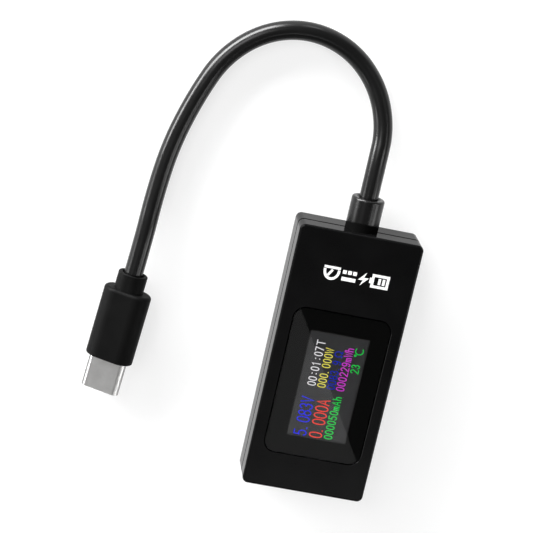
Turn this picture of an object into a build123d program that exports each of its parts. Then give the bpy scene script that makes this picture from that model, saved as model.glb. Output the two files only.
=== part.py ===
from build123d import *

import os
from math import cos, pi, radians, sin, tan

# Inline USB-C power meter with a captive cable and plug, built as separate pieces.
# Millimetres.  The origin is the centre of the case's rear face, which rests on the table at Z = 0.
# +X points to the button side, +Y to the cable end and +Z out of the display.

# ---- case ------------------------------------------------------------------------------------
CASE_WIDTH = 26.5
CASE_LENGTH = 58.4
CASE_THICKNESS = 10.4
CORNER_RADIUS = 1.25
FRONT_EDGE_RADIUS = 0.5
REAR_EDGE_RADIUS = 0.5
WALL = 1.5
FLOOR_Z = 1.3                  # inside face of the rear wall
CEILING_Z = 8.7                # inside face of the front wall
SEAM_LOW_Z = 5.4               # top of the rear shell's outer wall
SEAM_HIGH_Z = 5.9              # bottom of the front shell's outer wall
SEAM_EDGE_RADIUS = 0.12
LIP_TOP_Z = 6.3                # the rear shell's lip reaches up inside the front shell
LIP_INSET = 0.8                # from the outer wall face to the lip
LIP_CLEARANCE = 0.1
HALF_WIDTH = CASE_WIDTH / 2
HALF_LENGTH = CASE_LENGTH / 2

# ---- display, from the lens down to the pad on the board -------------------------------------
LENS_CENTRE = (0.1, -4.75)
LENS_WIDTH = 21.05
LENS_LENGTH = 32.8
LENS_CORNER_RADIUS = 2.6
LENS_TOP_Z = 10.3
LENS_BOTTOM_Z = 9.35
LENS_EDGE_CHAMFER = 0.12
RECESS_FLOOR_Z = 9.2
RECESS_GAP = 0.1
RECESS_EDGE_CHAMFER = 0.1
WINDOW_CENTRE = (0.44, -5.05)
WINDOW_WIDTH = 12.8
WINDOW_LENGTH = 23.8
WINDOW_CORNER_RADIUS = 0.2
FRAME_MARGIN = 0.3             # the shell's cut-out is this much larger all round than the tape's
TFT_CENTRE = (0.44, -3.95)
TFT_WIDTH = 13.5
TFT_LENGTH = 27.95
TFT_TOP_Z = 8.65
TFT_MIDDLE_Z = 7.75
TFT_BOTTOM_Z = 6.85

# ---- main board ------------------------------------------------------------------------------
BOARD_BOTTOM_Z = 4.7
BOARD_TOP_Z = 5.7
BOARD_HALF_WIDTH = 11.45
BOARD_HALF_LENGTH = 22.0
TONGUE_HALF_WIDTH = 7.0
SOCKET_TONGUE_Y = -27.5
CABLE_TONGUE_Y = 24.5
POST_RADIUS = 1.1
POST_PLACES = [(-9.6, -17.5), (9.6, -17.5), (-9.6, 17.5), (9.6, 11.3)]

# ---- case screws -----------------------------------------------------------------------------
SCREW_PLACES = [(x, y) for x in (-9.9, 9.9) for y in (-25.8, 25.8)]
BOSS_RADIUS = 2.1
SCREW_RADIUS = 0.8
SCREW_HOLE_RADIUS = 1.0
SCREW_HEAD_RADIUS = 1.5
SCREW_HEAD_HEIGHT = 0.9
COUNTERBORE_RADIUS = 1.65
COUNTERBORE_DEPTH = 1.3
SCREW_TIP_Z = 8.2

# ---- USB-C socket, standard receptacle sizes -------------------------------------------------
PORT_Z = CASE_THICKNESS / 2
SOCKET_WIDTH = 8.94
SOCKET_HEIGHT = 3.16
SOCKET_MOUTH_WIDTH = 8.34
SOCKET_MOUTH_HEIGHT = 2.56
SOCKET_MOUTH_Y = -29.0
SOCKET_BACK_Y = -21.65
SOCKET_CLEARANCE = 0.18
TONGUE_WIDTH = 6.69
TONGUE_HEIGHT = 0.7
TONGUE_TIP_Y = -28.1
HOUSING_FRONT_Y = -23.6
CONTACT_COUNT = 12
CONTACT_PITCH = 0.5
CONTACT_WIDTH = 0.25
CONTACT_THICKNESS = 0.04

# ---- side button -----------------------------------------------------------------------------
BUTTON_Y = 17.0
BUTTON_Z = 3.9
BUTTON_LENGTH = 5.0
BUTTON_HEIGHT = 1.9
BUTTON_GAP = 0.1
BUTTON_TRAVEL = 0.25
BUTTON_FACE_X = HALF_WIDTH + 0.6
BUTTON_FLANGE_X = (11.0, 11.55)
SWITCH_X = (8.0, 10.4)
PLUNGER_SIZE = (1.6, 1.0)      # along Y, along Z
PLUNGER_BACK_X = 9.6

# ---- strain relief and cable -----------------------------------------------------------------
RELIEF_X = 0.2
RELIEF_RADIUS = 3.5
RELIEF_END_Y = HALF_LENGTH + 6.9
RELIEF_RIM_RADIUS = 0.45
RELIEF_NECK_RADIUS = 2.95
RELIEF_HOLE_RADIUS = 3.0
RELIEF_FLANGE_Y = (26.0, 27.65)
CABLE_RADIUS = 2.0
CABLE_EXIT_Y = RELIEF_END_Y - 0.6
CABLE_MOUTH_RADIUS = 2.55
CABLE_INNER_Y = 24.9
WIRE_RADIUS = 0.45

# ---- plug: its own frame has the cable's mouth at the origin and points along -Y -------------
PLUG_TURN = -4.4               # degrees about +Z
PLUG_ROLL = -17.5              # degrees about its own axis: the cable's twist lifts the +X side
PLUG_MOUTH_DEPTH = 1.2
PLUG_MOUTH_RADIUS = 2.45
PLUG_NECK_SIZE = (6.3, 5.4)
PLUG_NECK_LENGTH = 3.8
PLUG_GRIP_SIZE = (10.3, 6.2)
PLUG_GRIP_END = -19.35
PLUG_SHOULDER_RADIUS = 0.7
PLUG_FRONT_RADIUS = 0.3
PLUG_SHELL_SIZE = (8.25, 2.4)
PLUG_SHELL_WALL = 0.28
PLUG_SHELL_ROOT = -16.35
PLUG_SHELL_END = -26.7
PLUG_SLOT_SIZE = (6.85, 0.84)
PLUG_BOARD_SIZE = (8.0, 9.0, 0.8)
# The grip's rounded edge rests on the table, so its centre stands this high.
PLUG_Z = PLUG_GRIP_SIZE[1] / 2 - (PLUG_GRIP_SIZE[0] - PLUG_GRIP_SIZE[1]) / 2 * sin(radians(PLUG_ROLL))
PLUG_PLACE = (-44.5, 10.1, PLUG_Z)

# ---- the free cable's route: out of the strain relief, round on the table and back to the plug 
PLUG_AXIS = (sin(radians(PLUG_TURN)), -cos(radians(PLUG_TURN)))
CABLE_ROUTE = [
    (RELIEF_X, CABLE_EXIT_Y, PORT_Z),
    (RELIEF_X, 42.8, PORT_Z),
    (0.5, 50.8, 3.2),
    (-2.9, 59.0, 2.0),
    (-9.8, 65.3, 2.0),
    (-18.9, 67.7, 2.0),
    (-28.0, 65.4, 2.0),
    (-35.3, 58.8, 2.0),
    (-39.2, 49.5, 2.0),
    (-42.2, 38.6, 2.0),
    (-43.4, 27.8, 2.2),
    (PLUG_PLACE[0] - 7.8 * PLUG_AXIS[0], PLUG_PLACE[1] - 7.8 * PLUG_AXIS[1], PLUG_PLACE[2]),
    (
        PLUG_PLACE[0] + PLUG_MOUTH_DEPTH * PLUG_AXIS[0],
        PLUG_PLACE[1] + PLUG_MOUTH_DEPTH * PLUG_AXIS[1],
        PLUG_PLACE[2],
    ),
]


# ---- shapes used in several pieces -----------------------------------------------------------
def block(x_range, y_range, z_range):
    """A box between two values on each axis."""
    sizes = [high - low for low, high in (x_range, y_range, z_range)]
    middle = [(high + low) / 2 for low, high in (x_range, y_range, z_range)]
    return Pos(*middle) * Box(*sizes)


def upright(outline, z_low, z_high, centre=(0, 0)):
    """A flat outline raised along +Z."""
    return Pos(centre[0], centre[1], z_low) * extrude(outline, z_high - z_low)


def column(radius, z_low, z_high, place):
    """A round column along Z."""
    return upright(Circle(radius), z_low, z_high, place)


def along_y(outline, y_low, y_high, x=0, z=0):
    """A flat outline, width along X and height along Z, drawn out along +Y."""
    plane = Plane(origin=(x, y_low, z), x_dir=(1, 0, 0), z_dir=(0, 1, 0))
    return extrude(plane * outline, y_high - y_low)


def along_x(outline, x_low, x_high, y=0, z=0):
    """A flat outline, width along Y and height along Z, drawn out along +X."""
    plane = Plane(origin=(x_low, y, z), x_dir=(0, 1, 0), z_dir=(1, 0, 0))
    return extrude(plane * outline, x_high - x_low)


def mouth_cone(small_radius, large_radius, y_small, y_large, x=0, z=0):
    """A cone along Y between two radii, for a countersunk cable mouth."""
    corners = [(0, y_small), (small_radius, y_small), (large_radius, y_large), (0, y_large)]
    outline = Polyline(*corners, close=True)
    return Pos(x, 0, z) * revolve(make_face(outline), Axis.Y)


def tube_along(points, radii, radius):
    """A round tube along straight runs joined by tangent arcs."""
    path = FilletPolyline(*points, radius=radii)
    start = Plane(origin=path @ 0, z_dir=path % 0)
    return sweep(start * Circle(radius), path=path), path.length


def contact_rows(y_range, upper_z, lower_z):
    """Two rows of flat contacts; each row's range in Z is given."""
    first = -CONTACT_PITCH * (CONTACT_COUNT - 1) / 2
    rows = []
    for number in range(CONTACT_COUNT):
        x = first + number * CONTACT_PITCH
        side = (x - CONTACT_WIDTH / 2, x + CONTACT_WIDTH / 2)
        rows += [block(side, y_range, upper_z), block(side, y_range, lower_z)]
    return rows


# ---- case shells -----------------------------------------------------------------------------
def case_block():
    """The closed outer shape of the case."""
    outline = RectangleRounded(CASE_WIDTH, CASE_LENGTH, CORNER_RADIUS)
    solid = upright(outline, 0, CASE_THICKNESS)
    solid = fillet(solid.edges().group_by(Axis.Z)[-1], FRONT_EDGE_RADIUS)
    return fillet(solid.edges().group_by(Axis.Z)[0], REAR_EDGE_RADIUS)


def case_cavity():
    """The space inside both shells."""
    outline = RectangleRounded(CASE_WIDTH - 2 * WALL, CASE_LENGTH - 2 * WALL, CORNER_RADIUS / 2)
    return upright(outline, FLOOR_Z, CEILING_Z)


def lip_ring(clearance, z_low, z_high):
    """The ring inside the seam, from the case's inner wall face out to the lip's outer face."""
    outer = 2 * (LIP_INSET - clearance)
    inner = 2 * (WALL + clearance)
    ring = RectangleRounded(CASE_WIDTH - outer, CASE_LENGTH - outer, CORNER_RADIUS - LIP_INSET + clearance)
    hole = RectangleRounded(CASE_WIDTH - inner, CASE_LENGTH - inner, CORNER_RADIUS / 2)
    return upright(ring - hole, z_low, z_high)


def end_openings():
    """The socket's mouth and the strain relief's hole, both centred on the port line."""
    mouth = SlotOverall(SOCKET_WIDTH + 2 * SOCKET_CLEARANCE, SOCKET_HEIGHT + 2 * SOCKET_CLEARANCE)
    socket_hole = along_y(mouth, -HALF_LENGTH - 1, -HALF_LENGTH + WALL + 0.5, 0, PORT_Z)
    relief_hole = along_y(
        Circle(RELIEF_HOLE_RADIUS), HALF_LENGTH - WALL - 0.5, HALF_LENGTH + 1, RELIEF_X, PORT_Z
    )
    return socket_hole + relief_hole


def front_shell():
    """The upper shell: face, lens recess, window, bosses for the screws and board posts."""
    slab = block((-20, 20), (-40, 40), (SEAM_HIGH_Z, CASE_THICKNESS + 1))
    shell = case_block() & slab
    shell = fillet(shell.edges().group_by(Axis.Z)[0], SEAM_EDGE_RADIUS)
    shell -= case_cavity()
    for place in SCREW_PLACES:
        shell += column(BOSS_RADIUS, SEAM_LOW_Z + 0.1, CEILING_Z, place)
    for place in POST_PLACES:
        shell += column(POST_RADIUS, BOARD_TOP_Z, CEILING_Z, place)
    shell -= lip_ring(LIP_CLEARANCE, SEAM_LOW_Z - 1, LIP_TOP_Z + LIP_CLEARANCE)
    for place in SCREW_PLACES:
        shell -= column(SCREW_RADIUS, SEAM_LOW_Z, SCREW_TIP_Z + 0.3, place)

    width, length = LENS_WIDTH + 2 * RECESS_GAP, LENS_LENGTH + 2 * RECESS_GAP
    recess = RectangleRounded(width, length, LENS_CORNER_RADIUS + RECESS_GAP)
    shell -= upright(recess, RECESS_FLOOR_Z, CASE_THICKNESS + 1, LENS_CENTRE)
    flare = RectangleRounded(
        width + 2 * RECESS_EDGE_CHAMFER,
        length + 2 * RECESS_EDGE_CHAMFER,
        LENS_CORNER_RADIUS + RECESS_GAP + RECESS_EDGE_CHAMFER,
    )
    rim = loft([
        Pos(*LENS_CENTRE, CASE_THICKNESS - RECESS_EDGE_CHAMFER) * recess,
        Pos(*LENS_CENTRE, CASE_THICKNESS) * flare,
    ])
    shell -= rim
    cutout = Rectangle(WINDOW_WIDTH + 2 * FRAME_MARGIN, WINDOW_LENGTH + 2 * FRAME_MARGIN)
    shell -= upright(cutout, CEILING_Z - 1, RECESS_FLOOR_Z + 1, WINDOW_CENTRE)
    return shell - end_openings()


def rear_shell():
    """The lower shell: rear face, lip, counterbored screw bosses, board posts and button slot."""
    slab = block((-20, 20), (-40, 40), (-1, SEAM_LOW_Z))
    shell = case_block() & slab
    shell = fillet(shell.edges().group_by(Axis.Z)[-1], SEAM_EDGE_RADIUS)
    shell -= case_cavity()
    shell += lip_ring(0, SEAM_LOW_Z - 0.5, LIP_TOP_Z)
    for place in SCREW_PLACES:
        shell += column(BOSS_RADIUS, FLOOR_Z, SEAM_LOW_Z, place)
    for place in POST_PLACES:
        shell += column(POST_RADIUS, FLOOR_Z, BOARD_BOTTOM_Z, place)
    for place in SCREW_PLACES:
        shell -= column(SCREW_HOLE_RADIUS, -1, LIP_TOP_Z + 1, place)
        shell -= column(COUNTERBORE_RADIUS, -1, COUNTERBORE_DEPTH, place)
    slot = RectangleRounded(BUTTON_LENGTH + 2 * BUTTON_GAP, BUTTON_HEIGHT + 2 * BUTTON_GAP, 0.6)
    shell -= along_x(slot, HALF_WIDTH - WALL - 0.5, HALF_WIDTH + 1, BUTTON_Y, BUTTON_Z)
    return shell - end_openings()


def case_screws():
    """Four self-tapping cross-head screws, driven from the rear."""
    screws = []
    head_top = COUNTERBORE_DEPTH - SCREW_HEAD_HEIGHT
    for place in SCREW_PLACES:
        screw = column(SCREW_HEAD_RADIUS, head_top, COUNTERBORE_DEPTH, place)
        screw = fillet(screw.edges().group_by(Axis.Z)[0], 0.25)
        screw += column(SCREW_RADIUS, COUNTERBORE_DEPTH, SCREW_TIP_Z, place)
        screw = chamfer(screw.edges().group_by(Axis.Z)[-1], 0.35)
        cross = Rectangle(1.7, 0.4) + Rectangle(0.4, 1.7)
        screw -= upright(cross, head_top - 0.1, head_top + 0.5, place)
        screws.append(screw)
    return screws


# ---- display ---------------------------------------------------------------------------------
def display_lens():
    """The flat clear cover set into the front shell."""
    outline = RectangleRounded(LENS_WIDTH, LENS_LENGTH, LENS_CORNER_RADIUS)
    lens = upright(outline, LENS_BOTTOM_Z, LENS_TOP_Z, LENS_CENTRE)
    return chamfer(lens.edges().group_by(Axis.Z)[-1], LENS_EDGE_CHAMFER)


def lens_tape():
    """The black adhesive frame under the lens; its opening is the window that shows."""
    outline = RectangleRounded(LENS_WIDTH, LENS_LENGTH, LENS_CORNER_RADIUS)
    tape = upright(outline, RECESS_FLOOR_Z, LENS_BOTTOM_Z, LENS_CENTRE)
    window = RectangleRounded(WINDOW_WIDTH, WINDOW_LENGTH, WINDOW_CORNER_RADIUS)
    return tape - upright(window, RECESS_FLOOR_Z - 1, LENS_BOTTOM_Z + 1, WINDOW_CENTRE)


def tft_glass():
    """The liquid crystal cell."""
    return upright(Rectangle(TFT_WIDTH, TFT_LENGTH), TFT_MIDDLE_Z, TFT_TOP_Z, TFT_CENTRE)


def tft_backlight():
    """The white light-guide frame behind the cell, with a step where the flex folds round it."""
    frame = upright(
        RectangleRounded(TFT_WIDTH, TFT_LENGTH, 0.4), TFT_BOTTOM_Z, TFT_MIDDLE_Z, TFT_CENTRE
    )
    end_y = TFT_CENTRE[1] + TFT_LENGTH / 2
    return frame - block((-4.2, 5.1), (end_y - 0.6, end_y + 1), (TFT_BOTTOM_Z - 1, TFT_MIDDLE_Z + 1))


def display_foam():
    """The foam frame that presses the display up against the front shell."""
    y_middle = TFT_CENTRE[1] - 1.0
    outline = Rectangle(12.6, 24.0) - Rectangle(7.0, 17.0)
    return upright(outline, BOARD_TOP_Z, TFT_BOTTOM_Z, (TFT_CENTRE[0], y_middle))


def display_flex():
    """The flat flexible tail: out of the cell's end, down and onto the board."""
    end_y = TFT_CENTRE[1] + TFT_LENGTH / 2
    thickness = 0.12
    x_range = (-3.6, 4.5)
    upper_z = TFT_MIDDLE_Z - thickness
    pieces = block(x_range, (end_y - 0.5, end_y + 0.8), (upper_z, TFT_MIDDLE_Z))
    pieces += block(x_range, (end_y + 0.68, end_y + 0.8), (BOARD_TOP_Z, TFT_MIDDLE_Z))
    return pieces + block(x_range, (end_y - 2.4, end_y + 0.8), (BOARD_TOP_Z, BOARD_TOP_Z + thickness))


# ---- board and what is soldered to it --------------------------------------------------------
def main_board():
    """The circuit board: a wide middle with a narrow tongue at each end."""
    ends = (BOARD_BOTTOM_Z, BOARD_TOP_Z)
    wide = (-BOARD_HALF_WIDTH, BOARD_HALF_WIDTH)
    narrow = (-TONGUE_HALF_WIDTH, TONGUE_HALF_WIDTH)
    board = block(wide, (-BOARD_HALF_LENGTH, BOARD_HALF_LENGTH), ends)
    board += block(narrow, (SOCKET_TONGUE_Y, CABLE_TONGUE_Y), ends)
    notch = SOCKET_WIDTH / 2 + 0.1
    board -= block((-notch, notch), (SOCKET_TONGUE_Y - 1, SOCKET_BACK_Y + 0.1), (0, 10))
    reach = BUTTON_LENGTH / 2 + 1.0
    board -= block((SWITCH_X[1] + 0.05, 20), (BUTTON_Y - reach, BUTTON_Y + reach), (0, 10))
    return board


def chip(centre, size, side, leads=0, lead_span=0.0):
    """A flat chip on the board's front (side = 1) or rear (side = -1), with leads on its long sides."""
    width, length, height = size
    base = BOARD_TOP_Z if side > 0 else BOARD_BOTTOM_Z
    z_range = sorted((base, base + side * height))
    x, y = centre
    body = block((x - width / 2, x + width / 2), (y - length / 2, y + length / 2), z_range)
    body = chamfer(body.edges().group_by(Axis.Z)[-1 if side > 0 else 0], 0.1)
    pitch = (length - 0.6) / max(leads - 1, 1)
    for number in range(leads):
        lead_y = y - length / 2 + 0.3 + number * pitch
        lead_z = sorted((base, base + side * 0.2))
        body += block(
            (x - lead_span / 2, x + lead_span / 2), (lead_y - 0.12, lead_y + 0.12), lead_z
        )
    return body


def microcontroller():
    """The processor that measures, counts and drives the display."""
    return chip((-3.4, 17.0), (5.0, 5.0, 0.85), 1, leads=8, lead_span=5.3)


def crystal():
    """The timing crystal beside the processor."""
    return chip((-3.4, 12.9), (3.2, 1.5, 0.7), 1)


def current_monitor():
    """The chip that reads the voltage over the shunt."""
    return chip((-5.0, -6.0), (3.0, 3.0, 0.9), -1, leads=5, lead_span=4.9)


def flash_memory():
    """The memory that keeps the totals."""
    return chip((4.6, 8.0), (3.9, 4.9, 1.5), -1, leads=4, lead_span=6.0)


def voltage_regulator():
    """The supply for the processor and the display."""
    return chip((6.0, -8.0), (1.6, 2.9, 1.1), -1, leads=3, lead_span=2.8)


def shunt_resistor():
    """The metal resistor in the power line."""
    return chip((0.0, -14.5), (6.4, 3.2, 0.6), -1)


def chip_capacitors():
    """Eight ceramic capacitors, four on each side of the board."""
    front = [(1.6, 13.2), (1.6, 15.0), (1.6, 16.8), (1.6, 18.6)]
    rear = [(-7.6, 2.0), (-7.6, 4.0), (8.6, -3.0), (8.6, -5.0)]
    return [chip(place, (2.0, 1.25, 0.85), 1) for place in front] + [
        chip(place, (2.0, 1.25, 0.85), -1) for place in rear
    ]


def chip_resistors():
    """Eight small resistors, four on each side of the board."""
    front = [(5.2, 13.2), (5.2, 14.6), (5.2, 16.0), (5.2, 17.4)]
    rear = [(-2.0, 2.0), (-2.0, 3.6), (-2.0, -9.0), (1.4, -9.0)]
    return [chip(place, (1.6, 0.8, 0.45), 1) for place in front] + [
        chip(place, (1.6, 0.8, 0.45), -1) for place in rear
    ]


# ---- USB-C socket ----------------------------------------------------------------------------
def socket_shell():
    """The seamless metal shell, sunk into the board's notch, with two pairs of solder wings."""
    outer = SlotOverall(SOCKET_WIDTH, SOCKET_HEIGHT)
    shell = along_y(outer, SOCKET_MOUTH_Y, SOCKET_BACK_Y, 0, PORT_Z)
    for side in (-1, 1):
        for y in (-25.8, -22.9):
            reach = sorted((side * 4.1, side * 5.9))
            shell += block(reach, (y - 0.75, y + 0.75), (BOARD_TOP_Z, BOARD_TOP_Z + 0.25))
    mouth = SlotOverall(SOCKET_MOUTH_WIDTH, SOCKET_MOUTH_HEIGHT)
    return shell - along_y(mouth, SOCKET_MOUTH_Y - 1, SOCKET_BACK_Y + 1, 0, PORT_Z)


def socket_tongue():
    """The moulded insulator: a block that closes the shell's back, and the tongue in the mouth."""
    housing = SlotOverall(SOCKET_MOUTH_WIDTH - 0.04, SOCKET_MOUTH_HEIGHT - 0.04)
    piece = along_y(housing, HOUSING_FRONT_Y, SOCKET_BACK_Y, 0, PORT_Z)
    tongue = Rectangle(TONGUE_WIDTH, TONGUE_HEIGHT)
    return piece + along_y(tongue, TONGUE_TIP_Y, HOUSING_FRONT_Y, 0, PORT_Z)


def socket_contacts():
    """Twelve contacts on each face of the tongue."""
    top, bottom = PORT_Z + TONGUE_HEIGHT / 2, PORT_Z - TONGUE_HEIGHT / 2
    upper, lower = (top, top + CONTACT_THICKNESS), (bottom - CONTACT_THICKNESS, bottom)
    return contact_rows((TONGUE_TIP_Y + 0.4, HOUSING_FRONT_Y), upper, lower)


# ---- side button -----------------------------------------------------------------------------
def side_button():
    """The cap that shows in the case's side, with a flange behind the wall that keeps it in."""
    cap = RectangleRounded(BUTTON_LENGTH, BUTTON_HEIGHT, 0.5)
    button = along_x(cap, BUTTON_FLANGE_X[0], BUTTON_FACE_X, BUTTON_Y, BUTTON_Z)
    button = fillet(button.edges().group_by(Axis.X)[-1], 0.25)
    flange = Rectangle(BUTTON_LENGTH + 1.2, BUTTON_HEIGHT + 0.8)
    return button + along_x(flange, *BUTTON_FLANGE_X, BUTTON_Y, BUTTON_Z)


def switch_plunger():
    """The switch's own plunger, which the button pushes."""
    return along_x(Rectangle(*PLUNGER_SIZE), PLUNGER_BACK_X, BUTTON_FLANGE_X[0], BUTTON_Y, BUTTON_Z)


def button_switch():
    """The side-acting switch under the board, with the pocket that its plunger slides in."""
    body = block(SWITCH_X, (BUTTON_Y - 2.3, BUTTON_Y + 2.3), (3.0, BOARD_BOTTOM_Z))
    pocket = Rectangle(PLUNGER_SIZE[0] + 0.1, PLUNGER_SIZE[1] + 0.1)
    back = PLUNGER_BACK_X - BUTTON_TRAVEL - 0.05
    return body - along_x(pocket, back, SWITCH_X[1] + 1, BUTTON_Y, BUTTON_Z)


# ---- strain relief, cable and wires ----------------------------------------------------------
def strain_relief():
    """The moulded sleeve: round outside, a neck in the wall's hole and a flange inside the case."""
    relief = along_y(Circle(RELIEF_RADIUS), HALF_LENGTH, RELIEF_END_Y, RELIEF_X, PORT_Z)
    relief = fillet(relief.edges().group_by(Axis.Y)[-1], RELIEF_RIM_RADIUS)
    relief += along_y(Circle(RELIEF_NECK_RADIUS), RELIEF_FLANGE_Y[0], HALF_LENGTH, RELIEF_X, PORT_Z)
    relief += along_y(Rectangle(8.0, 7.0), *RELIEF_FLANGE_Y, RELIEF_X, PORT_Z)
    relief -= along_y(Circle(CABLE_RADIUS), RELIEF_FLANGE_Y[0] - 1, CABLE_EXIT_Y, RELIEF_X, PORT_Z)
    return relief - mouth_cone(
        CABLE_RADIUS, CABLE_MOUTH_RADIUS, CABLE_EXIT_Y, RELIEF_END_Y + 0.001, RELIEF_X, PORT_Z
    )


def cable_inner_end():
    """The cable's jacket inside the strain relief, up to where its wires come out."""
    return along_y(Circle(CABLE_RADIUS), CABLE_INNER_Y, CABLE_EXIT_Y, RELIEF_X, PORT_Z)


def wire(start_x, end_x, side):
    """One insulated wire from the cable's end to its pad, on the board's front or rear."""
    base = BOARD_TOP_Z if side > 0 else BOARD_BOTTOM_Z
    z = base + side * (WIRE_RADIUS + 0.02)
    points = [
        (RELIEF_X + start_x, CABLE_INNER_Y, z),
        (RELIEF_X + start_x, CABLE_INNER_Y - 0.9, z),
        (end_x, CABLE_INNER_Y - 2.6, z),
        (end_x, CABLE_INNER_Y - 4.2, z),
    ]
    return tube_along(points, [0.6, 0.6], WIRE_RADIUS)[0]


def free_cable():
    """The cable between the strain relief and the plug, lying on the table in one wide loop."""
    vectors = [Vector(*point) for point in CABLE_ROUTE]
    runs = [after - before for before, after in zip(vectors, vectors[1:])]
    radii = []
    for before, after in zip(runs, runs[1:]):
        half_turn = radians(before.get_angle(after) / 2)
        radii.append(0.45 * min(before.length, after.length) / tan(half_turn))
    solid, length = tube_along(CABLE_ROUTE, radii, CABLE_RADIUS)
    section = pi * CABLE_RADIUS ** 2
    print("cable bend radii", [round(value, 1) for value in radii])
    fill = solid.volume / (section * length)
    print("cable length", round(length, 2), "and volume over section times length", round(fill, 5))
    return solid


# ---- plug, in its own frame ------------------------------------------------------------------
def plug_overmould():
    """The moulded grip with its neck, hollow where the metal shell, the board and the cable sit."""
    grip = along_y(SlotOverall(*PLUG_GRIP_SIZE), PLUG_GRIP_END, -PLUG_NECK_LENGTH)
    grip = fillet(grip.edges().group_by(Axis.Y)[-1], PLUG_SHOULDER_RADIUS)
    grip = fillet(grip.edges().group_by(Axis.Y)[0], PLUG_FRONT_RADIUS)
    neck = along_y(SlotOverall(*PLUG_NECK_SIZE), -PLUG_NECK_LENGTH - 0.5, 0)
    neck = fillet(neck.edges().group_by(Axis.Y)[-1], 0.25)
    grip += neck
    grip -= mouth_cone(CABLE_RADIUS, PLUG_MOUTH_RADIUS, -PLUG_MOUTH_DEPTH, 0.001)
    grip -= along_y(SlotOverall(*PLUG_SHELL_SIZE), PLUG_GRIP_END - 1, PLUG_SHELL_ROOT)
    return grip - plug_board()


def plug_board():
    """The small board in the grip that the shell's contacts and the wires are soldered to."""
    width, length, thickness = PLUG_BOARD_SIZE
    y_range = (PLUG_SHELL_ROOT, PLUG_SHELL_ROOT + length)
    return block((-width / 2, width / 2), y_range, (-thickness / 2, thickness / 2))


def plug_shell():
    """The drawn metal shell that goes into a socket."""
    outer = along_y(SlotOverall(*PLUG_SHELL_SIZE), PLUG_SHELL_END, PLUG_SHELL_ROOT)
    outer = fillet(outer.edges().group_by(Axis.Y)[0], 0.12)
    inner = SlotOverall(*(size - 2 * PLUG_SHELL_WALL for size in PLUG_SHELL_SIZE))
    return outer - along_y(inner, PLUG_SHELL_END - 1, PLUG_SHELL_ROOT + 1)


def plug_insulator():
    """The moulded block inside the shell, slotted for a socket's tongue."""
    size = [value - 2 * PLUG_SHELL_WALL - 0.04 for value in PLUG_SHELL_SIZE]
    insulator = along_y(SlotOverall(*size), PLUG_SHELL_END + 0.3, PLUG_SHELL_ROOT)
    return insulator - along_y(Rectangle(*PLUG_SLOT_SIZE), PLUG_SHELL_END - 1, PLUG_SHELL_END + 6.2)


def plug_contacts():
    """Twelve contacts on each wall of the insulator's slot."""
    half = PLUG_SLOT_SIZE[1] / 2
    upper, lower = (half - CONTACT_THICKNESS, half), (-half, CONTACT_THICKNESS - half)
    return contact_rows((PLUG_SHELL_END + 1.0, PLUG_SHELL_END + 5.6), upper, lower)


def as_plug(shape):
    """Moves a piece of the plug from the plug's own frame to where the plug lies."""
    place = Pos(*PLUG_PLACE) * Rot(0, 0, PLUG_TURN) * Rot(0, PLUG_ROLL, 0)
    if isinstance(shape, list):
        return [place * item for item in shape]
    return place * shape


# ---- every piece, by the name of its node ----------------------------------------------------
NODES = {
    "front_shell": front_shell(),
    "rear_shell": rear_shell(),
    "case_screws": case_screws(),
    "display_lens": display_lens(),
    "lens_tape": lens_tape(),
    "tft_glass": tft_glass(),
    "tft_backlight": tft_backlight(),
    "display_foam": display_foam(),
    "display_flex": display_flex(),
    "main_board": main_board(),
    "microcontroller": microcontroller(),
    "crystal": crystal(),
    "current_monitor": current_monitor(),
    "flash_memory": flash_memory(),
    "voltage_regulator": voltage_regulator(),
    "shunt_resistor": shunt_resistor(),
    "chip_capacitors": chip_capacitors(),
    "chip_resistors": chip_resistors(),
    "socket_shell": socket_shell(),
    "socket_tongue": socket_tongue(),
    "socket_contacts": socket_contacts(),
    "side_button": side_button(),
    "switch_plunger": switch_plunger(),
    "button_switch": button_switch(),
    "strain_relief": strain_relief(),
    "cable_inner_end": cable_inner_end(),
    "wire_power": wire(-1.1, -3.0, 1),
    "wire_config": wire(0.0, 1.0, 1),
    "wire_data_positive": wire(1.1, 3.6, 1),
    "wire_ground": wire(-0.7, -2.2, -1),
    "wire_data_negative": wire(0.7, 2.6, -1),
    "cable": free_cable(),
    "plug_overmould": as_plug(plug_overmould()),
    "plug_board": as_plug(plug_board()),
    "plug_shell": as_plug(plug_shell()),
    "plug_insulator": as_plug(plug_insulator()),
    "plug_contacts": as_plug(plug_contacts()),
}

os.makedirs("parts", exist_ok=True)
for name, shape in NODES.items():
    if isinstance(shape, list):
        shape = Compound(children=shape)
    export_step(shape, "parts/" + name + ".step")
print(len(NODES), "nodes written")
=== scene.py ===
from math import cos, radians, sin

import bmesh
import bpy
from mathutils import Matrix, Vector


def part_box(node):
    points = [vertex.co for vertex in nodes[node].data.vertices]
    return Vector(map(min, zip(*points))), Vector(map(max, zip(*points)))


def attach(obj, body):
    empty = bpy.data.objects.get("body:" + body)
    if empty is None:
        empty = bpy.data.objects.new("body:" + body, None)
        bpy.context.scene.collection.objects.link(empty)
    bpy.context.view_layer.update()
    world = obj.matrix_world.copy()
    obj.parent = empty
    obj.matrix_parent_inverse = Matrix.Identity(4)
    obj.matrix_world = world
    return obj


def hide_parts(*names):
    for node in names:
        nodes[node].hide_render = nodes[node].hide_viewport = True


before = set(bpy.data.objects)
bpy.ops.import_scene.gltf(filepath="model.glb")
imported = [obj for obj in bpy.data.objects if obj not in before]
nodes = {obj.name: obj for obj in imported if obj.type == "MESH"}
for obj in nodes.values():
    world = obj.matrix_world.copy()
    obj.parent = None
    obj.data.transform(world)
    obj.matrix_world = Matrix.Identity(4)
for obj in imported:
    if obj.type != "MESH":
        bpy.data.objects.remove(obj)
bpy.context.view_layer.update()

MM = 0.001

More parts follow.
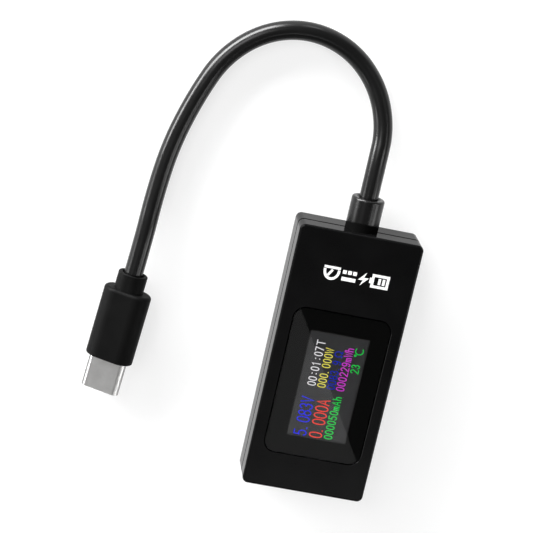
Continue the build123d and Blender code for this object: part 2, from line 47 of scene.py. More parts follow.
# ---- named places, from the CAD model --------------------------------------------------------
FACE_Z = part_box("front_shell")[1].z
DISPLAY_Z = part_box("tft_glass")[1].z
LENS_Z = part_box("display_lens")[1].z
FILM = 0.01 * MM                    # thickness of printed ink and of the lit pixels' layer
PIXEL_PITCH = 0.135 * MM            # of the display
PLUG_TURN = radians(4.4)            # between the plug and the case's long side
ROOT_SLOPE = (0.0, 1.0, -0.21)      # the strain relief's matt root ends on this sloping plane,
ROOT_END = 29.24 * MM               # this far along it


# ---- camera ----------------------------------------------------------------------------------
SENSOR_WIDTH = 36.0                 # this and the focal length are in millimetres
FOCAL_LENGTH = 135.08
LENS_SHIFT = (-0.00094, 0.00094)
CLIP_RANGE = (0.01, 20.0)
CAMERA_PLACE = (-0.0723, 0.12695, 0.40651)
SIGHT_LINE = (0.1307, -0.2614, -0.9563)
PICTURE_UP = (-0.1849, 0.9413, -0.2825)


def make_camera():
    """The camera that the reference view was taken from, looking down at the case."""
    data = bpy.data.cameras.new("camera")
    data.sensor_width = SENSOR_WIDTH
    data.lens = FOCAL_LENGTH
    data.shift_x, data.shift_y = LENS_SHIFT
    data.clip_start, data.clip_end = CLIP_RANGE
    camera = bpy.data.objects.new("camera", data)
    bpy.context.scene.collection.objects.link(camera)
    back = -Vector(SIGHT_LINE).normalized()
    right = Vector(PICTURE_UP).cross(back).normalized()
    up = back.cross(right)
    turn = Matrix((right, up, back)).transposed()
    camera.matrix_world = Matrix.Translation(CAMERA_PLACE) @ turn.to_4x4()
    bpy.context.scene.camera = camera


# ---- materials: shared node helpers ----------------------------------------------------------
def material_with(name, **sockets):
    """A new node material whose shader has these values on its own sockets."""
    material = bpy.data.materials.new(name)
    material.use_nodes = True
    shader = material.node_tree.nodes["Principled BSDF"]
    for socket, value in sockets.items():
        shader.inputs[socket.replace("_", " ")].default_value = value
    return material


def place_node(material, stretch=(1.0, 1.0, 1.0), turn=0.0):
    """The piece's own coordinates, stretched and turned, to feed a texture."""
    tree = material.node_tree
    coordinates = tree.nodes.new("ShaderNodeTexCoord")
    mapping = tree.nodes.new("ShaderNodeMapping")
    mapping.inputs["Scale"].default_value = stretch
    mapping.inputs["Rotation"].default_value = (0.0, 0.0, turn)
    tree.links.new(coordinates.outputs["Object"], mapping.inputs["Vector"])
    return mapping.outputs["Vector"]


def noise(material, grain, detail=3.0, stretch=(1.0, 1.0, 1.0), turn=0.0):
    """Cloudy noise from 0 to 1 whose grains are this size in metres."""
    tree = material.node_tree
    texture = tree.nodes.new("ShaderNodeTexNoise")
    texture.inputs["Scale"].default_value = 1.0 / grain
    texture.inputs["Detail"].default_value = detail
    tree.links.new(place_node(material, stretch, turn), texture.inputs["Vector"])
    return texture.outputs["Fac"]


def ramp(material, source, low, high, start=0.35, end=0.65):
    """A value or a colour that goes from low to high as source goes from start to end."""
    tree = material.node_tree
    if isinstance(low, tuple):
        blender = tree.nodes.new("ShaderNodeValToRGB")
        blender.color_ramp.elements[0].position = start
        blender.color_ramp.elements[1].position = end
        blender.color_ramp.elements[0].color = (*low, 1.0)
        blender.color_ramp.elements[1].color = (*high, 1.0)
        tree.links.new(source, blender.inputs["Fac"])
        return blender.outputs["Color"]
    ranged = tree.nodes.new("ShaderNodeMapRange")
    for socket, value in zip(("From Min", "From Max", "To Min", "To Max"), (start, end, low, high)):
        ranged.inputs[socket].default_value = value
    tree.links.new(source, ranged.inputs["Value"])
    return ranged.outputs["Result"]


def feed(material, socket, source):
    """Links a texture to one of the shader's sockets."""
    shader = material.node_tree.nodes["Principled BSDF"]
    material.node_tree.links.new(source, shader.inputs[socket])


def bump(material, height, depth, strength=1.0, after=None):
    """Raises the surface by up to depth metres where height is 1."""
    tree = material.node_tree
    node = tree.nodes.new("ShaderNodeBump")
    node.inputs["Distance"].default_value = depth
    node.inputs["Strength"].default_value = strength
    tree.links.new(height, node.inputs["Height"])
    if after is not None:
        tree.links.new(after, node.inputs["Normal"])
    feed(material, "Normal", node.outputs["Normal"])
    return node.outputs["Normal"]


def moulded(name, dark, light, rough, grain, depth, smudge=0.06, **sockets):
    """Moulded plastic or rubber: a fine eroded grain, cloudy colour and handled, uneven gloss."""
    material = material_with(name, **sockets)
    feed(material, "Base Color", ramp(material, noise(material, 6 * MM), dark, light))
    feed(material, "Roughness", ramp(material, noise(material, 9 * MM, 5.0), rough, rough + smudge))
    bump(material, noise(material, grain, 2.0), depth)
    return material


# ---- materials: one for each finish ----------------------------------------------------------
def uprightness(material):
    """0 on a piece's upright sides and 1 on the faces that point straight up or down."""
    tree = material.node_tree
    coordinates = tree.nodes.new("ShaderNodeTexCoord")
    split = tree.nodes.new("ShaderNodeSeparateXYZ")
    size = tree.nodes.new("ShaderNodeMath")
    size.operation = "ABSOLUTE"
    tree.links.new(coordinates.outputs["Normal"], split.inputs["Vector"])
    tree.links.new(split.outputs["Z"], size.inputs[0])
    return size.outputs["Value"]


def case_plastic():
    """Black ABS: satin faces with a fine spark-eroded grain, and smooth sides with little gloss."""
    material = moulded("case_plastic", (0.0024, 0.0024, 0.0025), (0.0032, 0.0032, 0.0033), 0.18,
                       0.16 * MM, 0.0012 * MM)
    flat = uprightness(material)
    side_roughness, side_gloss, face_gloss = 0.07, 0.035, 0.09
    face_roughness = ramp(material, noise(material, 9 * MM, 5.0), 0.17, 0.23)
    roughness = ramp(material, flat, side_roughness, 0.18, start=0.9, end=1.0)
    material.node_tree.links.new(face_roughness, roughness.node.inputs["To Max"])
    feed(material, "Roughness", roughness)
    gloss = ramp(material, flat, side_gloss, face_gloss, start=0.75, end=0.97)
    feed(material, "Specular IOR Level", gloss)
    return material


def button_plastic():
    """The case's plastic, a little shinier where fingers press it."""
    return moulded("button_plastic", (0.0032, 0.0032, 0.0033), (0.0045, 0.0045, 0.0046), 0.24,
                   0.16 * MM, 0.003 * MM, Specular_IOR_Level=0.12)


def screw_steel():
    """Black-plated steel with turning marks and bright wear."""
    material = material_with("screw_steel", Metallic=1.0)
    wear = noise(material, 0.5 * MM, 4.0)
    colour = ramp(material, wear, (0.06, 0.06, 0.065), (0.24, 0.24, 0.25), start=0.5, end=0.75)
    feed(material, "Base Color", colour)
    feed(material, "Roughness", ramp(material, noise(material, 0.2 * MM), 0.28, 0.45))
    bump(material, noise(material, 0.12 * MM), 0.003 * MM)
    return material


def lens_clear():
    """Clear hard-coated acrylic with faint finger marks and a blackened edge."""
    material = material_with("lens_clear", IOR=1.49)
    feed(material, "Roughness", ramp(material, noise(material, 7 * MM, 4.0), 0.003, 0.01))
    flat = uprightness(material)
    edge_black, clear = (0.002, 0.002, 0.002), (0.98, 0.985, 0.99)
    feed(material, "Base Color", ramp(material, flat, edge_black, clear, start=0.4, end=0.6))
    feed(material, "Transmission Weight", ramp(material, flat, 0.0, 1.0, start=0.4, end=0.6))
    return material


def tape_black():
    """Black adhesive film with a faint weave of its carrier."""
    return moulded("tape_black", (0.0034, 0.0034, 0.0034), (0.0042, 0.0042, 0.0042), 0.6,
                   0.1 * MM, 0.003 * MM)


def display_glass():
    """Dark polariser over a lit panel: nearly black, with a little light leaking through unevenly."""
    material = material_with("display_glass", Base_Color=(0.004, 0.004, 0.005, 1.0),
                             Emission_Strength=1.0, Roughness=0.35)
    leak = ramp(material, noise(material, 8 * MM), (0.0095, 0.0095, 0.0097), (0.0118, 0.0118, 0.012))
    feed(material, "Emission Color", leak)
    bump(material, noise(material, PIXEL_PITCH, 0.0), 0.001 * MM)
    return material


def white_plastic():
    """White moulded plastic of the backlight."""
    return moulded("white_plastic", (0.74, 0.74, 0.72), (0.82, 0.82, 0.8), 0.4, 0.2 * MM, 0.004 * MM)


def foam_black():
    """Open-cell black foam."""
    return moulded("foam_black", (0.012, 0.012, 0.012), (0.045, 0.045, 0.045), 0.85,
                   0.22 * MM, 0.06 * MM)


def flex_film():
    """Amber polyimide film with copper tracks showing through."""
    material = material_with("flex_film", Roughness=0.3)
    tracks = noise(material, 0.5 * MM, 0.0, (1.0, 0.05, 1.0))
    amber, copper = (0.32, 0.13, 0.02), (0.62, 0.3, 0.07)
    feed(material, "Base Color", ramp(material, tracks, amber, copper, start=0.45, end=0.55))
    bump(material, tracks, 0.01 * MM)
    return material


def board_laminate():
    """Green solder mask over copper tracks, with the glass weave faintly raised."""
    material = material_with("board_laminate", Roughness=0.35)
    tracks = noise(material, 1.1 * MM, 1.0, (1.0, 0.35, 1.0))
    mask, mask_on_copper = (0.006, 0.045, 0.02), (0.02, 0.13, 0.055)
    feed(material, "Base Color", ramp(material, tracks, mask, mask_on_copper, start=0.47, end=0.53))
    raised = bump(material, tracks, 0.03 * MM)
    bump(material, noise(material, 0.25 * MM), 0.006 * MM, after=raised)
    return material


def chip_resin():
    """Black moulding resin with its matt, slightly mottled skin."""
    return moulded("chip_resin", (0.012, 0.012, 0.012), (0.024, 0.024, 0.025), 0.55,
                   0.08 * MM, 0.006 * MM)


def bright_metal():
    """Tinned metal, cloudy and finely scratched."""
    material = material_with("bright_metal", Metallic=1.0)
    dull, bright = (0.5, 0.5, 0.48), (0.68, 0.68, 0.66)
    feed(material, "Base Color", ramp(material, noise(material, 1.5 * MM), dull, bright))
    scratches = noise(material, 0.1 * MM, 2.0, (1.0, 0.08, 1.0))
    feed(material, "Roughness", ramp(material, scratches, 0.25, 0.42))
    bump(material, scratches, 0.002 * MM)
    return material


def ceramic_tan():
    """Fired ceramic of the chip capacitors."""
    return moulded("ceramic_tan", (0.36, 0.25, 0.14), (0.5, 0.37, 0.23), 0.5, 0.12 * MM, 0.006 * MM)


def resistor_black():
    """Black glaze of the chip resistors."""
    return moulded("resistor_black", (0.014, 0.014, 0.014), (0.035, 0.035, 0.035), 0.3,
                   0.15 * MM, 0.004 * MM)


def nickel_shell():
    """Satin nickel plate, brushed along the shell, with painted shade: its colour is darkened round
    the upright drawn sides.
    """
    material = material_with("nickel_shell", Metallic=1.0)
    cloud = noise(material, 2.5 * MM, 4.0)
    plate = ramp(material, cloud, (0.67, 0.665, 0.655), (0.74, 0.735, 0.725))
    # Painted shade: dark grey colour on the upright sides, the full plate colour on the flat faces.
    shade = material.node_tree.nodes.new("ShaderNodeMix")
    shade.data_type = "RGBA"
    shade.inputs["A"].default_value = (0.16, 0.16, 0.16, 1.0)
    flat = ramp(material, uprightness(material), 0.0, 1.0, start=0.35, end=0.9)
    material.node_tree.links.new(flat, shade.inputs["Factor"])
    material.node_tree.links.new(plate, shade.inputs["B"])
    feed(material, "Base Color", shade.outputs["Result"])
    brushing = noise(material, 0.12 * MM, 2.0, (1.0, 0.05, 1.0), turn=PLUG_TURN)
    feed(material, "Roughness", ramp(material, brushing, 0.29, 0.36))
    bump(material, brushing, 0.0006 * MM)
    return material


def insulator_black():
    """Black liquid crystal polymer with its flow grain."""
    return moulded("insulator_black", (0.009, 0.009, 0.009), (0.018, 0.018, 0.018), 0.42,
                   0.12 * MM, 0.004 * MM)


def contact_gold():
    """Gold flash over nickel, a little uneven."""
    material = material_with("contact_gold", Metallic=1.0)
    worn, fresh = (0.74, 0.52, 0.2), (0.9, 0.7, 0.34)
    feed(material, "Base Color", ramp(material, noise(material, 0.4 * MM), worn, fresh))
    feed(material, "Roughness", ramp(material, noise(material, 0.15 * MM), 0.18, 0.32))
    return material


def relief_rubber():
    """Glossy black elastomer of the strain relief, left matt at its root beside the wall."""
    material = moulded("relief_rubber", (0.0024, 0.0024, 0.0024), (0.0034, 0.0034, 0.0034), 0.24,
                       0.2 * MM, 0.0015 * MM, 0.05)
    tree = material.node_tree
    from_root = tree.nodes.new("ShaderNodeVectorMath")
    from_root.operation = "DOT_PRODUCT"
    from_root.inputs[1].default_value = ROOT_SLOPE
    tree.links.new(place_node(material), from_root.inputs[0])
    gloss = ramp(material, from_root.outputs["Value"], 0.0, 0.3,
                 start=ROOT_END - 0.1 * MM, end=ROOT_END + 0.2 * MM)
    feed(material, "Specular IOR Level", gloss)
    return material


def cable_jacket():
    """Glossy black cable jacket with the fine orange peel of an extruded skin."""
    return moulded("cable_jacket", (0.0034, 0.0034, 0.0034), (0.0046, 0.0046, 0.0046), 0.22,
                   0.5 * MM, 0.0012 * MM, 0.05, Specular_IOR_Level=0.3)


def plug_rubber():
    """Matt black elastomer of the plug's grip."""
    return moulded("plug_rubber", (0.0018, 0.0018, 0.0018), (0.0028, 0.0028, 0.0028), 0.5,
                   0.18 * MM, 0.004 * MM, Specular_IOR_Level=0.06)


def wire_insulation(name, colour):
    """Thin coloured insulation with a faint extruded texture."""
    dark = tuple(0.8 * c for c in colour)
    return moulded(name, dark, colour, 0.35, 0.3 * MM, 0.004 * MM)


def white_ink():
    """White printed ink with the slight unevenness of a pad print."""
    material = material_with("white_ink")
    thin, full = (0.86, 0.86, 0.86), (0.95, 0.95, 0.95)
    feed(material, "Base Color", ramp(material, noise(material, 0.5 * MM, 4.0), thin, full))
    feed(material, "Roughness", ramp(material, noise(material, 0.3 * MM), 0.4, 0.55))
    bump(material, noise(material, 0.1 * MM), 0.002 * MM)
    return material


def lit_pixels(name, colour):
    """Lit pixels of one colour: light broken up by the panel's fine grid."""
    material = material_with(name, Base_Color=(0.0, 0.0, 0.0, 1.0), Roughness=0.5,
                             Specular_IOR_Level=0.0, Emission_Strength=1.0)
    grid = noise(material, PIXEL_PITCH, 1.0)
    dim = tuple(0.86 * c for c in colour)
    feed(material, "Emission Color", ramp(material, grid, dim, colour, start=0.3, end=0.7))
    return material


FINISHES = {
    case_plastic: ["front_shell", "rear_shell"],
    button_plastic: ["side_button", "switch_plunger"],
    screw_steel: ["case_screws"],
    lens_clear: ["display_lens"],
    tape_black: ["lens_tape"],
    display_glass: ["tft_glass"],
    white_plastic: ["tft_backlight"],
    foam_black: ["display_foam"],
    flex_film: ["display_flex"],
    board_laminate: ["main_board", "plug_board"],
    chip_resin: [
        "microcontroller",
        "current_monitor",
        "flash_memory",
        "voltage_regulator",
        "shunt_resistor",
    ],
    bright_metal: ["crystal", "button_switch"],
    ceramic_tan: ["chip_capacitors"],
    resistor_black: ["chip_resistors"],
    nickel_shell: ["socket_shell", "plug_shell"],
    insulator_black: ["socket_tongue", "plug_insulator"],
    contact_gold: ["socket_contacts", "plug_contacts"],
    relief_rubber: ["strain_relief"],
    cable_jacket: ["cable", "cable_inner_end"],
    plug_rubber: ["plug_overmould"],
}
WIRE_COLOURS = {
    "wire_power": (0.5, 0.02, 0.015),
    "wire_config": (0.02, 0.05, 0.5),
    "wire_data_positive": (0.02, 0.32, 0.06),
    "wire_ground": (0.012, 0.012, 0.012),
    "wire_data_negative": (0.75, 0.75, 0.75),
}


def paint(piece, material):
    """Gives every material slot of a piece this material."""
    piece.data.materials.clear()
    piece.data.materials.append(material)


def paint_cad_nodes():
    for make_finish, names in FINISHES.items():
        material = make_finish()
        for name in names:
            paint(nodes[name], material)
    for name, colour in WIRE_COLOURS.items():
        paint(nodes[name], wire_insulation(name, colour))


# ---- the cord --------------------------------------------------------------------------------
CABLE_RADIUS = 2.0 * MM
CABLE_ROUTE = [
    (0.2, 35.5, 5.2),
    (0.2, 42.8, 5.2),
    (0.5, 50.8, 3.2),
    (-2.9, 59.0, 2.0),
    (-9.8, 65.3, 2.0),
    (-18.9, 67.7, 2.0),
    (-28.0, 65.4, 2.0),
    (-35.3, 58.8, 2.0),
    (-39.2, 49.5, 2.0),
    (-42.2, 38.6, 2.0),
    (-43.4, 27.8, 2.2),
    (-43.902, 17.877, 3.716),
    (-44.592, 8.904, 3.716),
]


def make_cord():
    """The free cord, one smooth curve from the strain relief to the plug."""
    curve = bpy.data.curves.new("cord", "CURVE")
    curve.dimensions = "3D"
    curve.resolution_u = 16
    curve.bevel_depth = CABLE_RADIUS
    curve.bevel_resolution = 10
    curve.use_fill_caps = True
    spline = curve.splines.new("NURBS")
    spline.points.add(len(CABLE_ROUTE) - 1)
    for point, place in zip(spline.points, CABLE_ROUTE):
        point.co = (*[value * MM for value in place], 1.0)
    spline.order_u = 3
    spline.use_endpoint_u = True
    piece = bpy.data.objects.new("cord", curve)
    bpy.context.scene.collection.objects.link(piece)
    paint(piece, nodes["cable"].data.materials[0])
    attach(piece, "case")
    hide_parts("cable")


# ---- flat shapes: strokes and filled outlines ------------------------------------------------
def arc(centre, radii, start, end, power=1.0, steps=20):
    """Points round an oval from start to end degrees. A power under 1 squares it off."""
    points = []
    for i in range(steps + 1):
        angle = radians(start + (end - start) * i / steps)
        c, s = cos(angle), sin(angle)
        points.append((
            centre[0] + radii[0] * abs(c) ** power * (1 if c >= 0 else -1),
            centre[1] + radii[1] * abs(s) ** power * (1 if s >= 0 else -1),
        ))
    return points


def stroke_outline(points, width):
    """The outline of a pen stroke of this width along the points, with square ends."""
    half = width / 2
    line = [Vector(p) for p in points]
    closed = (line[0] - line[-1]).length < 0.05 * width
    if closed:
        line.pop()
    count = len(line)
    left, right = [], []
    for i, point in enumerate(line):
        before = line[i - 1] if (i or closed) else point
        after = line[(i + 1) % count] if (i + 1 < count or closed) else point
        incoming = (point - before).normalized()
        outgoing = (after - point).normalized()
        along = (incoming + outgoing).normalized()
        side = Vector((-along.y, along.x))
        steer = outgoing if outgoing.length else incoming
        lean = max(0.5, abs(side.dot(Vector((-steer.y, steer.x)))))
        place = point
        if not closed and i == 0:
            place = point - outgoing * half
        if not closed and i == count - 1:
            place = point + incoming * half
        left.append(place + side * half / lean)
        right.append(place - side * half / lean)
    return left, right, closed


def add_stroke(mesh, points, width, place):
    """A flat ribbon along the points, added to a bmesh. place turns (along, up) into a frame point."""
    left, right, closed = stroke_outline(points, width)
    rows = [(mesh.verts.new(place(a)), mesh.verts.new(place(b))) for a, b in zip(left, right)]
    pairs = list(zip(rows, rows[1:]))
    if closed:
        pairs.append((rows[-1], rows[0]))
    for (a, b), (c, d) in pairs:
        mesh.faces.new((b, d, c, a))


def add_polygon(mesh, points, place):
    """A filled flat outline, added to a bmesh."""
    mesh.faces.new([mesh.verts.new(place(Vector(p))) for p in points])


def flat_piece(name, mesh, material, body):
    """Turns a bmesh of flat shapes into a piece that rides on a body, its faces upwards."""
    bmesh.ops.triangulate(mesh, faces=[f for f in mesh.faces if len(f.verts) > 4])
    mesh.normal_update()
    bmesh.ops.reverse_faces(mesh, faces=[f for f in mesh.faces if f.normal.z < 0])
    data = bpy.data.meshes.new(name)
    mesh.to_mesh(data)
    mesh.free()
    piece = bpy.data.objects.new(name, data)
    bpy.context.scene.collection.objects.link(piece)
    paint(piece, material)
    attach(piece, body)
    return piece


# ---- the readout -----------------------------------------------------------------------------
# Each character is a list of pen strokes in a box one wide and one high.
def digit_shapes():
    ring = arc((0.5, 0.5), (0.5, 0.5), 90, 450, 0.85, 32)
    return {
        "0": [ring],
        "1": [[(0.25, 0.8), (0.58, 1.0), (0.58, 0.0)]],
        "2": [arc((0.5, 0.72), (0.46, 0.28), 165, -35) + [(0.04, 0.0), (1.0, 0.0)]],
        "3": [arc((0.46, 0.75), (0.42, 0.25), 160, -80) + arc((0.46, 0.27), (0.5, 0.27), 80, -160)],
        "5": [[(0.92, 1.0), (0.16, 1.0), (0.1, 0.56)] + arc((0.46, 0.31), (0.5, 0.31), 125, -155)],
        "7": [[(0.02, 1.0), (0.98, 1.0), (0.42, 0.0)]],
        "8": [
            arc((0.5, 0.76), (0.42, 0.24), 90, 450, 1.0, 24),
            arc((0.5, 0.26), (0.5, 0.26), 90, 450, 1.0, 24),
        ],
        "9": [
            arc((0.5, 0.7), (0.46, 0.3), 90, 450, 1.0, 24),
            arc((0.46, 0.55), (0.5, 0.55), 0, -125, 0.9),
        ],
    }


def letter_shapes():
    return {
        ".": [[(0.06, 0.04), (0.18, 0.04)]],
        ":": [[(0.5, 0.2), (0.62, 0.2)], [(0.5, 0.74), (0.62, 0.74)]],
        "A": [[(0.0, 0.0), (0.5, 1.0), (1.0, 0.0)], [(0.2, 0.33), (0.8, 0.33)]],
        "T": [[(0.25, 1.0), (1.6, 1.0)], [(0.92, 0.94), (0.92, 0.0)]],
        "V": [[(0.0, 1.0), (0.5, 0.0), (1.0, 1.0)]],
        "W": [[(-0.1, 1.0), (0.25, 0.0), (0.6, 0.85), (0.95, 0.0), (1.3, 1.0)]],
        "h": [[(0.1, 1.0), (0.1, 0.0)], arc((0.5, 0.36), (0.4, 0.26), 180, 0, 0.8) + [(0.9, 0.0)]],
        "m": [
            [(0.0, 0.6), (0.0, 0.0)],
            arc((0.25, 0.4), (0.25, 0.2), 180, 0, 0.8, 10) + [(0.5, 0.0)],
            arc((0.75, 0.4), (0.25, 0.2), 180, 0, 0.8, 10) + [(1.0, 0.0)],
        ],
        "ohm": [
            [(-0.8, 0.05), (-0.25, 0.05)]
            + arc((0.08, 0.55), (0.8, 0.42), 245, -65, 0.95, 28)
            + [(0.41, 0.05), (0.96, 0.05)],
        ],
        "celsius": [
            arc((0.75, 0.88), (0.24, 0.11), 90, 450, 1.0, 16),
            arc((2.25, 0.48), (1.05, 0.5), 55, 305, 0.95, 28),
        ],
    }


SHAPES = {**digit_shapes(), **letter_shapes()}

# name, characters, y of the first character's middle, x of the foot of the row, style and colour.
# A style gives the step in y, the width and height of a character and the pen's width. Lengths
# are in millimetres. The rows read along +Y with their tops towards -X.
BIG = dict(step=1.5, size=(1.08, 2.62), pen=0.26)
SMALL = dict(step=1.115, size=(0.72, 1.66), pen=0.205)
ROWS = [
    ("readout_volts", list("5.083V"), -16.2, -1.84, BIG, (0.005, 0.012, 0.78)),
    ("readout_amps", list("0.000A"), -16.2, 1.56, BIG, (0.88, 0.05, 0.03)),
    ("readout_charge", list("000050mAh"), -16.25, 3.84, SMALL, (0.004, 0.7, 0.07)),
    ("readout_time", list("00:01:07T"), -4.98, -2.34, SMALL, (0.86, 0.86, 0.88)),
    ("readout_power", list("000.000W"), -5.05, -0.16, SMALL, (0.8, 0.74, 0.1)),
    ("readout_resistance", [*"0083.9 ", "ohm"], -5.1, 1.9, SMALL, (0.004, 0.02, 0.42)),
    ("readout_energy", list("000229mWh"), -5.12, 3.94, SMALL, (0.6, 0.035, 0.6)),
    ("readout_temperature", [*"23 ", "celsius"], -0.72, 6.05, SMALL, (0.004, 0.6, 0.06)),
]


def make_readout():
    """Eight rows of lit characters on the display."""
    for name, characters, first_y, foot_x, style, colour in ROWS:
        mesh = bmesh.new()
        width, height = style["size"]
        for i, character in enumerate(characters):
            start_y = first_y + i * style["step"] - width / 2

            def place(point):
                return (
                    (foot_x - point.y) * MM,
                    (start_y + point.x) * MM,
                    DISPLAY_Z + FILM,
                )

            for stroke in SHAPES.get(character, []):
                sized = [(u * width, v * height) for u, v in stroke]
                add_stroke(mesh, sized, style["pen"], place)
        flat_piece(name, mesh, lit_pixels(name, colour), "case")


# ---- the printed symbols ---------------------------------------------------------------------
# Plain symbols in one row, 14 mm by 3 mm, read from the display's side: a battery, a bolt,
# direct current and a dial.
SYMBOLS_PLACE = (0.55, 20.0)


def symbol_place(centre):
    """Turns (along, up) about a symbol's middle, in millimetres, into a point on the face."""
    def place(point):
        return (
            (SYMBOLS_PLACE[0] - centre - point.x) * MM,
            (SYMBOLS_PLACE[1] - point.y) * MM,
            FACE_Z + FILM,
        )
    return place


def bar(x, y, width, height):
    """The corners of an upright rectangle about (x, y)."""
    w, h = width / 2, height / 2
    return [(x - w, y - h), (x + w, y - h), (x + w, y + h), (x - w, y + h)]


def make_symbols():
    mesh = bmesh.new()
    battery = symbol_place(-5.0)
    outline = bar(-0.2, 0.0, 3.2, 2.4)
    add_stroke(mesh, outline + outline[:1], 0.56, battery)
    add_polygon(mesh, bar(1.88, 0.0, 0.4, 1.2), battery)
    for x in (-0.95, -0.05):
        add_polygon(mesh, bar(x, 0.0, 0.56, 1.34), battery)
    bolt = symbol_place(-1.6)
    add_polygon(mesh, [(0.5, 1.5), (-1.1, -0.3), (-0.1, -0.3)], bolt)
    add_polygon(mesh, [(-0.5, -1.5), (1.1, 0.3), (0.1, 0.3)], bolt)
    add_polygon(mesh, [(-0.1, -0.3), (0.1, -0.3), (0.1, 0.3), (-0.1, 0.3)], bolt)
    direct = symbol_place(1.45)
    add_polygon(mesh, bar(0.0, 0.75, 3.0, 0.8), direct)
    for x in (-1.1, 0.0, 1.1):
        add_polygon(mesh, bar(x, -0.75, 0.8, 0.8), direct)
    dial = symbol_place(5.25)
    add_stroke(mesh, arc((0.0, -0.55), (1.5, 1.78), 0, 180, 1.0, 36), 0.55, dial)
    add_stroke(mesh, [(0.0, -0.55), (0.55, 0.35)], 0.5, dial)
    add_polygon(mesh, bar(0.0, -1.24, 3.5, 0.52), dial)
    flat_piece("face_symbols", mesh, white_ink(), "case")


# ---- floor, world and lights -----------------------------------------------------------------
FLOOR_REACH = 3.0                   # from the middle to a side
FLOOR_DROP = 0.02 * MM              # keeps the floor clear of the case's rear face


def make_floor():
    """A wide pale sheet just under the case, lit evenly like a product table."""
    mesh = bmesh.new()
    bmesh.ops.create_grid(mesh, x_segments=12, y_segments=12, size=FLOOR_REACH)
    data = bpy.data.meshes.new("floor")
    mesh.to_mesh(data)
    mesh.free()
    floor = bpy.data.objects.new("floor", data)
    floor.location.z = -FLOOR_DROP
    bpy.context.scene.collection.objects.link(floor)
    material = material_with("floor_paper", Roughness=0.9, Emission_Strength=0.68,
                             Emission_Color=(1.0, 1.0, 1.0, 1.0))
    shaded, plain = (0.33, 0.33, 0.33), (0.36, 0.36, 0.36)
    feed(material, "Base Color", ramp(material, noise(material, 0.4), shaded, plain))
    paint(floor, material)


# The studio's brightness at each height, from 0 at the horizon to 1 straight overhead.
SKY = [(0.0, 1.0), (0.1, 0.9), (0.3, 0.22), (0.7, 0.085), (1.0, 0.08)]


def make_world():
    """A studio that is pale at the horizon and dark overhead."""
    world = bpy.data.worlds.new("studio")
    world.use_nodes = True
    tree = world.node_tree
    coordinates = tree.nodes.new("ShaderNodeTexCoord")
    split = tree.nodes.new("ShaderNodeSeparateXYZ")
    shade = tree.nodes.new("ShaderNodeValToRGB")
    tree.links.new(coordinates.outputs["Generated"], split.inputs["Vector"])
    tree.links.new(split.outputs["Z"], shade.inputs["Fac"])
    elements = shade.color_ramp.elements
    while len(elements) < len(SKY):
        elements.new(0.5)
    for element, (place, value) in zip(elements, SKY):
        element.position = place
        element.color = (value, value, value, 1.0)
    tree.links.new(shade.outputs["Color"], tree.nodes["Background"].inputs["Color"])
    bpy.context.scene.world = world


LOOK_AT = Vector((-0.01, 0.01, 0.005))


def make_light(name, azimuth, elevation, distance, size, radiance):
    """A soft rectangular light, of this brightness, facing the object. Azimuth 0 is towards +X."""
    data = bpy.data.lights.new(name, "AREA")
    data.shape = "RECTANGLE"
    data.size, data.size_y = size
    data.energy = 4 * radiance * size[0] * size[1]
    light = bpy.data.objects.new(name, data)
    bpy.context.scene.collection.objects.link(light)
    turn, rise = radians(azimuth), radians(elevation)
    outward = Vector((cos(turn) * cos(rise), sin(turn) * cos(rise), sin(rise)))
    light.location = LOOK_AT + outward * distance
    light.rotation_mode = "QUATERNION"
    light.rotation_quaternion = outward.to_track_quat("Z", "Y")
    light.visible_camera = False
    return light


CARD_DISTANCE = 0.7                 # from the lens to a card that it mirrors


def mirrored_in_lens(x, y):
    """Where the mirrored line of sight meets a card. The point mirroring it is in millimetres."""
    camera = bpy.context.scene.camera.matrix_world.translation
    on_lens = Vector((x * MM, y * MM, LENS_Z))
    sight = (on_lens - camera).normalized()
    return on_lens + CARD_DISTANCE * Vector((sight.x, sight.y, -sight.z))


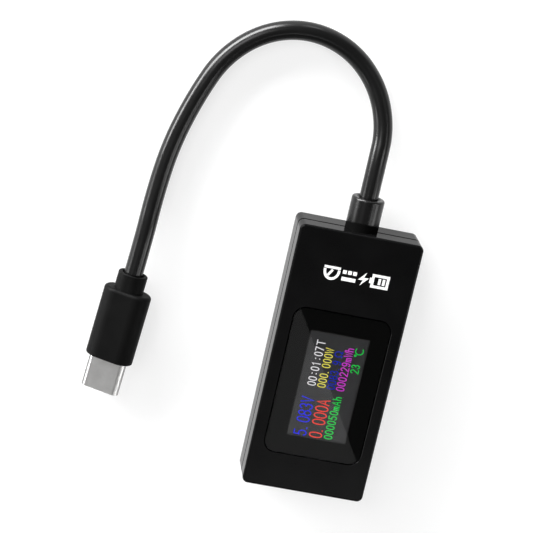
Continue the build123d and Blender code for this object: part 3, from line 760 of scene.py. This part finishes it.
def make_mirrored_card(name, ends, towards, size, radiance):
    """A faint card with one edge mirrored between two ends. It extends from there one way."""
    first, last = (mirrored_in_lens(x, y) for x, y in ends)
    card = make_light(name, 0, 45, CARD_DISTANCE, size, radiance)  # turned to face the lens below
    along = (last - first).normalized()
    outward = (first - Vector((0.0, 0.0, LENS_Z))).normalized()
    side = along.cross(outward).normalized()
    if side.dot(Vector(towards)) < 0:
        side.negate()
    card.location = (first + last) / 2 + side * size[1] / 2
    turn = Matrix((along, side, along.cross(side))).transposed()
    if turn.col[2].z < 0:
        turn = Matrix((-along, side, side.cross(along))).transposed()
    card.rotation_quaternion = turn.to_quaternion()


# name, azimuth and elevation in degrees, distance, size and radiance: low strips round the sides
# for the rounded parts, high ones for the flat parts.
LIGHTS = [
    ("left_strip_0", 120, 12, 0.9, (0.42, 0.34), 26.0),
    ("left_strip_1", 147, 12, 0.9, (0.42, 0.34), 26.0),
    ("left_strip_end", 170, 7, 0.9, (0.28, 0.2), 24.0),
    ("left_low", 196, 10, 0.9, (0.28, 0.25), 4.5),
    ("right_low", -17, 24, 0.9, (0.24, 0.28), 4.6),
    ("right_mid", -24, 47, 0.9, (0.18, 0.22), 4.2),
    ("far_low", 83, 14, 0.9, (0.16, 0.2), 5.0),
    ("near_left", 232, 20, 0.9, (0.15, 0.15), 5.0),
    ("high_back", 138, 52, 1.0, (0.5, 0.4), 3.5),
    ("high_right", 7, 43, 1.0, (0.22, 0.26), 6.5),
    ("plug_card", 207, 60, 0.8, (0.25, 0.3), 0.45),
]
LENS_DIAGONAL = [(-8.75, 10.4), (10.15, -20.25)]    # the edges of two cards, as the lens's plane
PAST_SOCKET_END = [(-13.0, -34.0), (20.0, -24.0)]   # mirrors them, in millimetres


def make_lights():
    for light in LIGHTS:
        make_light(*light)
    make_mirrored_card("gloss_card", LENS_DIAGONAL, (-1.0, 0.0, 0.0), (0.26, 0.25), 0.255)
    make_mirrored_card("low_card", PAST_SOCKET_END, (0.0, -1.0, 0.0), (0.2, 0.08), 1.6)


# ---- everything together ---------------------------------------------------------------------
bpy.context.scene.view_settings.view_transform = "Standard"
make_camera()
paint_cad_nodes()
make_cord()
make_readout()
make_symbols()
make_floor()
make_world()
make_lights()
